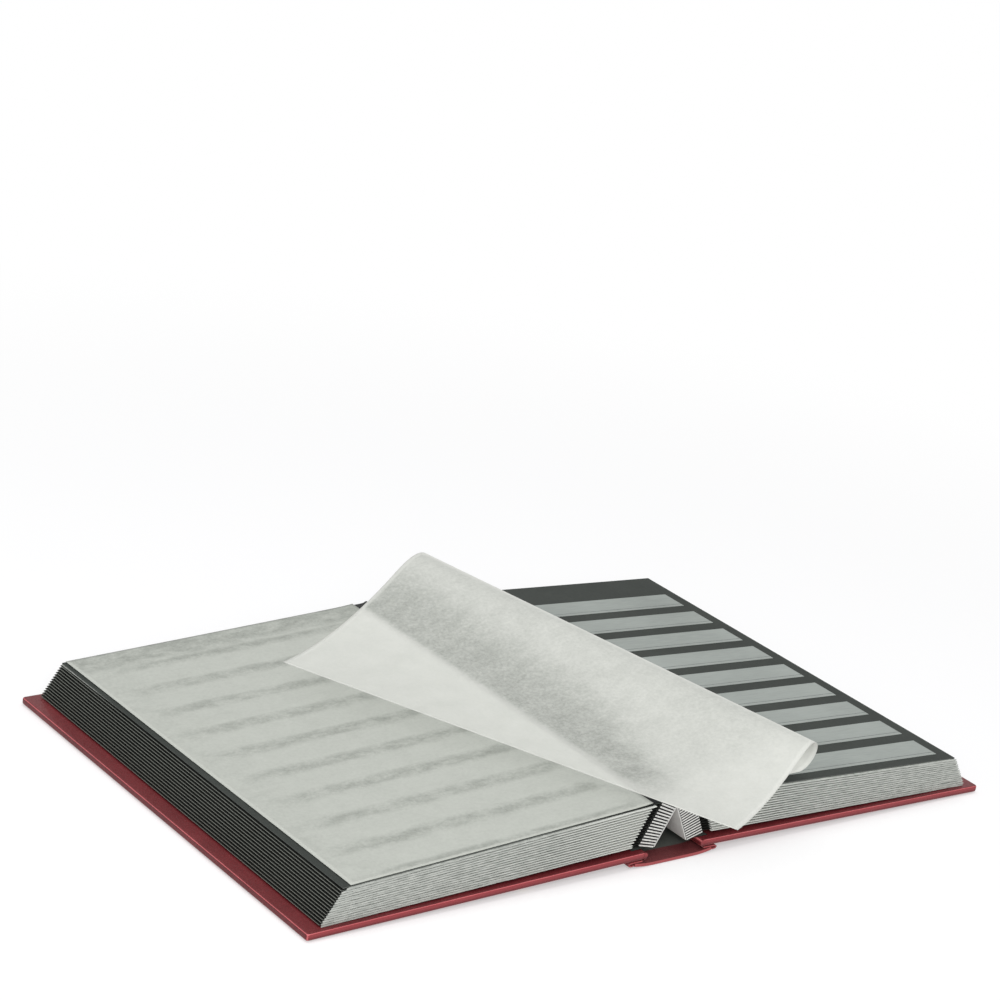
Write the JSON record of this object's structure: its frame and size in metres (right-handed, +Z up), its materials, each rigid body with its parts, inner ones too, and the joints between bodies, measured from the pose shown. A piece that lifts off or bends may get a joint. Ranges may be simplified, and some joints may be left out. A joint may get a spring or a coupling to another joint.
{
  "type": "stamp album",
  "caption": "Stamp stockbook lying open: padded leatherette case with a hollow spine, hinged black leaves with clear pocket strips, and glassine interleaves.",
  "frame": {"origin": "middle of the spine's underside, on the table", "axes": "+X across the spread to the right, +Y along the spine to the head, +Z up"},
  "size_m": [0.503, 0.3555, 0.0736],
  "materials": {
    "grey_board": "matte",
    "foam": "soft",
    "burgundy_leatherette": "satin grain",
    "spine_liner": "satin grain",
    "spine_card": "matte",
    "endpaper": "matte",
    "gold_foil": "polished",
    "lining_paper": "matte",
    "guard_card": "matte",
    "black_linen": "matte",
    "black_card": "matte",
    "pocket_film": "clear film",
    "glassine": "translucent"
  },
  "bodies": {
    "back_cover": {"back_board": "grey_board", "back_padding": "foam", "back_leatherette": "burgundy_leatherette", "back_endpaper": "endpaper", "back_endpaper_joint": "endpaper"},
    "spine": {"spine_leatherette": "burgundy_leatherette", "spine_card": "spine_card", "spine_liner": "spine_liner", "spine_gold_bands": "gold_foil", "front_joint": "burgundy_leatherette", "back_joint": "burgundy_leatherette"},
    "front_cover": {"front_board": "grey_board", "front_padding": "foam", "front_leatherette": "burgundy_leatherette", "front_endpaper": "endpaper", "front_gold_lines": "gold_foil", "front_endpaper_joint": "endpaper"},
    "gutter": {"gutter_fold": "lining_paper", "curled_interleaf": "glassine"},
    "left_back": {"left_lining": "lining_paper", "left_guards": "guard_card", "left_hinge_linens": "black_linen"},
    "right_back": {"right_lining": "lining_paper", "right_guards": "guard_card", "right_hinge_linens": "black_linen"},
    "leaf_01": {"leaf_01": "black_card"},
    "leaf_02": {"leaf_02": "black_card"},
    "leaf_03": {"leaf_03": "black_card"},
    "leaf_04": {"leaf_04": "black_card"},
    "leaf_05": {"leaf_05": "black_card"},
    "leaf_06": {"leaf_06": "black_card"},
    "leaf_07": {"leaf_07": "black_card"},
    "leaf_08": {"leaf_08": "black_card"},
    "leaf_09": {"leaf_09": "black_card"},
    "leaf_10": {"leaf_10": "black_card"},
    "leaf_11": {"leaf_11": "black_card"},
    "leaf_12": {"leaf_12": "black_card"},
    "leaf_13": {"leaf_13": "black_card"},
    "leaf_14": {"leaf_14": "black_card"},
    "leaf_15": {"leaf_15": "black_card", "left_page_pockets": "pocket_film", "left_interleaf": "glassine"},
    "leaf_16": {"leaf_16": "black_card", "right_page_pockets": "pocket_film"},
    "leaf_17": {"leaf_17": "black_card"},
    "leaf_18": {"leaf_18": "black_card"},
    "leaf_19": {"leaf_19": "black_card"},
    "leaf_20": {"leaf_20": "black_card"},
    "leaf_21": {"leaf_21": "black_card"},
    "leaf_22": {"leaf_22": "black_card"},
    "leaf_23": {"leaf_23": "black_card"},
    "leaf_24": {"leaf_24": "black_card"},
    "leaf_25": {"leaf_25": "black_card"},
    "leaf_26": {"leaf_26": "black_card"},
    "leaf_27": {"leaf_27": "black_card"},
    "leaf_28": {"leaf_28": "black_card"},
    "leaf_29": {"leaf_29": "black_card"},
    "leaf_30": {"leaf_30": "black_card"}
  },
  "joints": [
    {"name": "back_hinge", "type": "hinge", "parent": "back_cover", "child": "spine", "pos_m": [0.02573, 0, 0.01433], "axis": [0, 1, 0], "range_deg": [0, 91.1], "deforming": ["back_joint", "front_joint", "back_endpaper_joint", "front_endpaper_joint", "curled_interleaf"]},
    {"name": "front_hinge", "type": "hinge", "parent": "spine", "child": "front_cover", "pos_m": [-0.02573, 0, 0.01433], "axis": [0, 1, 0], "range_deg": [0, 91.1]},
    {"name": "gutter_drop", "type": "slide", "parent": "spine", "child": "gutter", "axis": [0, 0, -1], "range_m": [0, 0.0267]},
    {"name": "left_back_turn", "type": "hinge", "parent": "gutter", "child": "left_back", "pos_m": [0, 0, 0.033], "axis": [0, 1, 0], "range_deg": [0, 63]},
    {"name": "right_back_turn", "type": "hinge", "parent": "gutter", "child": "right_back", "pos_m": [0, 0, 0.033], "axis": [0, -1, 0], "range_deg": [0, 63]},
    {"name": "leaf_01_turn", "type": "hinge", "parent": "left_back", "child": "leaf_01", "pos_m": [-0.02357, 0, 0.0126], "axis": [0, 1, 0], "range_deg": [0, 28.78]},
    {"name": "leaf_02_turn", "type": "hinge", "parent": "left_back", "child": "leaf_02", "pos_m": [-0.02273, 0, 0.01431], "axis": [0, 1, 0], "range_deg": [0, 28.87]},
    {"name": "leaf_03_turn", "type": "hinge", "parent": "left_back", "child": "leaf_03", "pos_m": [-0.02189, 0, 0.01603], "axis": [0, 1, 0], "range_deg": [0, 28.96]},
    {"name": "leaf_04_turn", "type": "hinge", "parent": "left_back", "child": "leaf_04", "pos_m": [-0.02105, 0, 0.01774], "axis": [0, 1, 0], "range_deg": [0, 29.06]},
    {"name": "leaf_05_turn", "type": "hinge", "parent": "left_back", "child": "leaf_05", "pos_m": [-0.02021, 0, 0.01945], "axis": [0, 1, 0], "range_deg": [0, 29.15]},
    {"name": "leaf_06_turn", "type": "hinge", "parent": "left_back", "child": "leaf_06", "pos_m": [-0.01936, 0, 0.02116], "axis": [0, 1, 0], "range_deg": [0, 29.24]},
    {"name": "leaf_07_turn", "type": "hinge", "parent": "left_back", "child": "leaf_07", "pos_m": [-0.01852, 0, 0.02287], "axis": [0, 1, 0], "range_deg": [0, 29.34]},
    {"name": "leaf_08_turn", "type": "hinge", "parent": "left_back", "child": "leaf_08", "pos_m": [-0.01767, 0, 0.02458], "axis": [0, 1, 0], "range_deg": [0, 29.43]},
    {"name": "leaf_09_turn", "type": "hinge", "parent": "left_back", "child": "leaf_09", "pos_m": [-0.01682, 0, 0.02629], "axis": [0, 1, 0], "range_deg": [0, 29.52]},
    {"name": "leaf_10_turn", "type": "hinge", "parent": "left_back", "child": "leaf_10", "pos_m": [-0.01596, 0, 0.02799], "axis": [0, 1, 0], "range_deg": [0, 29.61]},
    {"name": "leaf_11_turn", "type": "hinge", "parent": "left_back", "child": "leaf_11", "pos_m": [-0.01511, 0, 0.0297], "axis": [0, 1, 0], "range_deg": [0, 29.71]},
    {"name": "leaf_12_turn", "type": "hinge", "parent": "left_back", "child": "leaf_12", "pos_m": [-0.01425, 0, 0.03141], "axis": [0, 1, 0], "range_deg": [0, 29.8]},
    {"name": "leaf_13_turn", "type": "hinge", "parent": "left_back", "child": "leaf_13", "pos_m": [-0.01339, 0, 0.03311], "axis": [0, 1, 0], "range_deg": [0, 29.89]},
    {"name": "leaf_14_turn", "type": "hinge", "parent": "left_back", "child": "leaf_14", "pos_m": [-0.01253, 0, 0.03481], "axis": [0, 1, 0], "range_deg": [0, 29.98]},
    {"name": "leaf_15_turn", "type": "hinge", "parent": "left_back", "child": "leaf_15", "pos_m": [-0.01167, 0, 0.03652], "axis": [0, 1, 0], "range_deg": [0, 30.07]},
    {"name": "leaf_16_turn", "type": "hinge", "parent": "right_back", "child": "leaf_16", "pos_m": [0.01167, 0, 0.03652], "axis": [0, -1, 0], "range_deg": [0, 30.07]},
    {"name": "leaf_17_turn", "type": "hinge", "parent": "right_back", "child": "leaf_17", "pos_m": [0.01253, 0, 0.03481], "axis": [0, -1, 0], "range_deg": [0, 29.98]},
    {"name": "leaf_18_turn", "type": "hinge", "parent": "right_back", "child": "leaf_18", "pos_m": [0.01339, 0, 0.03311], "axis": [0, -1, 0], "range_deg": [0, 29.89]},
    {"name": "leaf_19_turn", "type": "hinge", "parent": "right_back", "child": "leaf_19", "pos_m": [0.01425, 0, 0.03141], "axis": [0, -1, 0], "range_deg": [0, 29.8]},
    {"name": "leaf_20_turn", "type": "hinge", "parent": "right_back", "child": "leaf_20", "pos_m": [0.01511, 0, 0.0297], "axis": [0, -1, 0], "range_deg": [0, 29.71]},
    {"name": "leaf_21_turn", "type": "hinge", "parent": "right_back", "child": "leaf_21", "pos_m": [0.01596, 0, 0.02799], "axis": [0, -1, 0], "range_deg": [0, 29.61]},
    {"name": "leaf_22_turn", "type": "hinge", "parent": "right_back", "child": "leaf_22", "pos_m": [0.01682, 0, 0.02629], "axis": [0, -1, 0], "range_deg": [0, 29.52]},
    {"name": "leaf_23_turn", "type": "hinge", "parent": "right_back", "child": "leaf_23", "pos_m": [0.01767, 0, 0.02458], "axis": [0, -1, 0], "range_deg": [0, 29.43]},
    {"name": "leaf_24_turn", "type": "hinge", "parent": "right_back", "child": "leaf_24", "pos_m": [0.01852, 0, 0.02287], "axis": [0, -1, 0], "range_deg": [0, 29.34]},
    {"name": "leaf_25_turn", "type": "hinge", "parent": "right_back", "child": "leaf_25", "pos_m": [0.01936, 0, 0.02116], "axis": [0, -1, 0], "range_deg": [0, 29.24]},
    {"name": "leaf_26_turn", "type": "hinge", "parent": "right_back", "child": "leaf_26", "pos_m": [0.02021, 0, 0.01945], "axis": [0, -1, 0], "range_deg": [0, 29.15]},
    {"name": "leaf_27_turn", "type": "hinge", "parent": "right_back", "child": "leaf_27", "pos_m": [0.02105, 0, 0.01774], "axis": [0, -1, 0], "range_deg": [0, 29.06]},
    {"name": "leaf_28_turn", "type": "hinge", "parent": "right_back", "child": "leaf_28", "pos_m": [0.02189, 0, 0.01603], "axis": [0, -1, 0], "range_deg": [0, 28.96]},
    {"name": "leaf_29_turn", "type": "hinge", "parent": "right_back", "child": "leaf_29", "pos_m": [0.02273, 0, 0.01431], "axis": [0, -1, 0], "range_deg": [0, 28.87]},
    {"name": "leaf_30_turn", "type": "hinge", "parent": "right_back", "child": "leaf_30", "pos_m": [0.02357, 0, 0.0126], "axis": [0, -1, 0], "range_deg": [0, 28.78]}
  ],
  "couplings": [
    {"joint": "front_hinge", "follows": "back_hinge", "ratio": 1},
    {"joint": "gutter_drop", "follows": "back_hinge", "m_per_rad": 0.016793},
    {"joint": "left_back_turn", "follows": "back_hinge", "ratio": 0.69155},
    {"joint": "right_back_turn", "follows": "back_hinge", "ratio": 0.69155},
    {"joint": "leaf_01_turn", "follows": "back_hinge", "ratio": 0.31588},
    {"joint": "leaf_02_turn", "follows": "back_hinge", "ratio": 0.31691},
    {"joint": "leaf_03_turn", "follows": "back_hinge", "ratio": 0.31793},
    {"joint": "leaf_04_turn", "follows": "back_hinge", "ratio": 0.31896},
    {"joint": "leaf_05_turn", "follows": "back_hinge", "ratio": 0.31998},
    {"joint": "leaf_06_turn", "follows": "back_hinge", "ratio": 0.321},
    {"joint": "leaf_07_turn", "follows": "back_hinge", "ratio": 0.32202},
    {"joint": "leaf_08_turn", "follows": "back_hinge", "ratio": 0.32304},
    {"joint": "leaf_09_turn", "follows": "back_hinge", "ratio": 0.32405},
    {"joint": "leaf_10_turn", "follows": "back_hinge", "ratio": 0.32506},
    {"joint": "leaf_11_turn", "follows": "back_hinge", "ratio": 0.32607},
    {"joint": "leaf_12_turn", "follows": "back_hinge", "ratio": 0.32708},
    {"joint": "leaf_13_turn", "follows": "back_hinge", "ratio": 0.32809},
    {"joint": "leaf_14_turn", "follows": "back_hinge", "ratio": 0.32909},
    {"joint": "leaf_15_turn", "follows": "back_hinge", "ratio": 0.33009},
    {"joint": "leaf_16_turn", "follows": "back_hinge", "ratio": 0.33009},
    {"joint": "leaf_17_turn", "follows": "back_hinge", "ratio": 0.32909},
    {"joint": "leaf_18_turn", "follows": "back_hinge", "ratio": 0.32809},
    {"joint": "leaf_19_turn", "follows": "back_hinge", "ratio": 0.32708},
    {"joint": "leaf_20_turn", "follows": "back_hinge", "ratio": 0.32607},
    {"joint": "leaf_21_turn", "follows": "back_hinge", "ratio": 0.32506},
    {"joint": "leaf_22_turn", "follows": "back_hinge", "ratio": 0.32405},
    {"joint": "leaf_23_turn", "follows": "back_hinge", "ratio": 0.32304},
    {"joint": "leaf_24_turn", "follows": "back_hinge", "ratio": 0.32202},
    {"joint": "leaf_25_turn", "follows": "back_hinge", "ratio": 0.321},
    {"joint": "leaf_26_turn", "follows": "back_hinge", "ratio": 0.31998},
    {"joint": "leaf_27_turn", "follows": "back_hinge", "ratio": 0.31896},
    {"joint": "leaf_28_turn", "follows": "back_hinge", "ratio": 0.31793},
    {"joint": "leaf_29_turn", "follows": "back_hinge", "ratio": 0.31691},
    {"joint": "leaf_30_turn", "follows": "back_hinge", "ratio": 0.31588}
  ]
}
